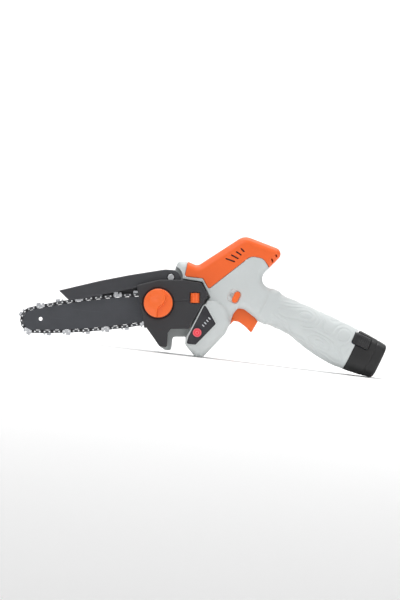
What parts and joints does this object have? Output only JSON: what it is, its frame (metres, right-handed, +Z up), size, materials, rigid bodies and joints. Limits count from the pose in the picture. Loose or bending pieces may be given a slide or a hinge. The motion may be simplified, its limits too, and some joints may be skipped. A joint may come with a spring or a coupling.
{
  "type": "chainsaw",
  "caption": "One-handed battery pruning chainsaw with a short guide bar, swinging chain guard, knob-fixed side cover, trigger grip and slide-in battery.",
  "frame": {"origin": "on the resting facet under the chin, in the plane where the two housing halves meet", "axes": "+Z up as the saw stands on its chin and battery, bar tip towards -X, battery towards +X, tension knob on the -Y side"},
  "size_m": [0.4836, 0.076, 0.1629],
  "materials": {
    "housing_grey": "fine satin texture",
    "orange_plastic": "satin moulded",
    "orange_knob": "semi-gloss moulded",
    "panel_black": "semi-gloss",
    "light_lens": "frosted lens",
    "button_red": "soft gloss",
    "circuit_board": "lacquered board",
    "fastener_steel": "zinc plated",
    "cast_alloy": "die cast",
    "bearing_steel": "ground",
    "motor_steel": "plated",
    "magnet": "sintered",
    "inner_plastic": "moulded",
    "carbon": "carbon",
    "spring_steel": "wire",
    "wire_rubber": "insulation",
    "gear_steel": "hardened",
    "copper": "bright copper",
    "bar_steel": "dark matt coating",
    "chain_steel": "plated",
    "cutter_steel": "hard chrome",
    "guard_plastic": "fine texture",
    "cover_plastic": "fine texture",
    "brass_insert": "turned",
    "battery_black": "fine texture",
    "latch_black": "ribbed",
    "cell_wrap": "shrink wrap"
  },
  "bodies": {
    "saw": {"housing_left": "housing_grey", "housing_right": "housing_grey", "motor_cover_left": "orange_plastic", "motor_cover_right": "orange_plastic", "control_panel": "panel_black", "led_lights": "light_lens", "control_board": "circuit_board", "housing_screws": "fastener_steel", "gearbox_case": "cast_alloy", "gearbox_lid": "cast_alloy", "bearings": "bearing_steel", "bar_stud": "fastener_steel", "motor_can": "motor_steel", "motor_magnets": "magnet", "motor_end_bell": "inner_plastic", "motor_brushes": "carbon", "guard_screw": "fastener_steel", "guard_spring": "spring_steel", "trigger_spring": "spring_steel", "lock_spring": "spring_steel", "switch_body": "inner_plastic", "battery_terminals": "inner_plastic", "power_wires": "wire_rubber"},
    "rotor": {"bevel_pinion": "gear_steel", "motor_shaft": "gear_steel", "armature_core": "motor_steel", "armature_windings": "copper", "commutator": "copper", "cooling_fan": "inner_plastic"},
    "drive": {"bevel_gear": "gear_steel", "sprocket_shaft": "gear_steel", "drive_sprocket": "gear_steel", "sprocket_clip": "spring_steel"},
    "bar": {"guide_bar": "bar_steel", "chain_drive_links": "chain_steel", "chain_tie_straps": "chain_steel", "chain_cutters_left": "cutter_steel", "chain_cutters_right": "cutter_steel", "chain_rivets": "chain_steel"},
    "guard": {"chain_guard": "guard_plastic"},
    "cover": {"side_cover": "cover_plastic"},
    "knob": {"knob": "orange_knob", "knob_nut": "brass_insert"},
    "tension_wheel": {"tension_wheel": "orange_knob"},
    "tension_screw": {"tension_screw": "fastener_steel"},
    "tension_nut": {"tension_nut": "fastener_steel"},
    "trigger": {"trigger": "orange_knob"},
    "lock_button": {"lock_button": "orange_knob"},
    "power_button": {"power_button": "button_red"},
    "battery": {"battery_cap": "battery_black", "battery_stem": "battery_black", "battery_cells": "cell_wrap", "battery_board": "circuit_board", "battery_contacts": "copper"},
    "latch_left": {"latch_left": "latch_black"},
    "latch_right": {"latch_right": "latch_black"}
  },
  "joints": [
    {"name": "rotor_spin", "type": "hinge", "parent": "saw", "child": "rotor", "pos_m": [-0.02555, 0.003, 0.06588], "axis": [0.749, 0, 0.6626], "continuous": true},
    {"name": "drive_spin", "type": "hinge", "parent": "saw", "child": "drive", "pos_m": [-0.02555, 0, 0.06588], "axis": [0, 1, 0], "continuous": true},
    {"name": "guard_swing", "type": "hinge", "parent": "saw", "child": "guard", "pos_m": [-0.0496, -0.016, 0.0988], "axis": [0, 1, 0], "range_deg": [0, 50], "stiffness_Nm_per_rad": 0.03, "springref_deg": -20.05, "deforming": ["guard_spring"]},
    {"name": "trigger_pull", "type": "slide", "parent": "saw", "child": "trigger", "axis": [0.3256, 0, 0.9455], "range_m": [0, 0.005], "stiffness_N_per_m": 350, "springref_m": -0.002, "deforming": ["trigger_spring"]},
    {"name": "lock_slide", "type": "slide", "parent": "saw", "child": "lock_button", "axis": [-0.9455, 0, 0.3256], "range_m": [0, 0.006], "stiffness_N_per_m": 120, "springref_m": -0.002, "deforming": ["lock_spring"]},
    {"name": "power_press", "type": "slide", "parent": "saw", "child": "power_button", "axis": [0, 1, 0], "range_m": [0, 0.001], "stiffness_N_per_m": 400, "springref_m": -0.0005},
    {"name": "cover_off", "type": "slide", "parent": "saw", "child": "cover", "axis": [0, -1, 0], "range_m": [0, 0.045]},
    {"name": "knob_turn", "type": "hinge", "parent": "cover", "child": "knob", "pos_m": [-0.0616, -0.034, 0.0635], "axis": [0, -1, 0], "continuous": true},
    {"name": "bar_slack", "type": "slide", "parent": "saw", "child": "bar", "axis": [0.9759, 0, 0.2181], "range_m": [0, 0.005]},
    {"name": "tension_nut_travel", "type": "slide", "parent": "cover", "child": "tension_nut", "axis": [0.9759, 0, 0.2181], "range_m": [0, 0.005]},
    {"name": "tension_screw_turn", "type": "hinge", "parent": "cover", "child": "tension_screw", "pos_m": [-0.05886, -0.026, 0.05126], "axis": [0.9759, 0, 0.2181], "range_deg": [0, 1440]},
    {"name": "tension_wheel_turn", "type": "hinge", "parent": "cover", "child": "tension_wheel", "pos_m": [-0.0153, -0.0296, 0.0759], "axis": [-0.1167, 0, 0.9932], "range_deg": [0, 1440]},
    {"name": "battery_out", "type": "slide", "parent": "saw", "child": "battery", "axis": [0.9455, 0, -0.3256], "range_m": [0, 0.06]},
    {"name": "latch_left_press", "type": "slide", "parent": "battery", "child": "latch_left", "axis": [0, 1, 0], "range_m": [0, 0.0018], "stiffness_N_per_m": 400, "springref_m": -0.001},
    {"name": "latch_right_press", "type": "slide", "parent": "battery", "child": "latch_right", "axis": [0, -1, 0], "range_m": [0, 0.0018], "stiffness_N_per_m": 400, "springref_m": -0.001}
  ],
  "couplings": [
    {"joint": "drive_spin", "follows": "rotor_spin", "ratio": 0.5},
    {"joint": "tension_nut_travel", "follows": "bar_slack", "ratio": 1},
    {"joint": "tension_screw_turn", "follows": "bar_slack", "rad_per_m": 5026.5},
    {"joint": "tension_wheel_turn", "follows": "bar_slack", "rad_per_m": 5026.5}
  ]
}
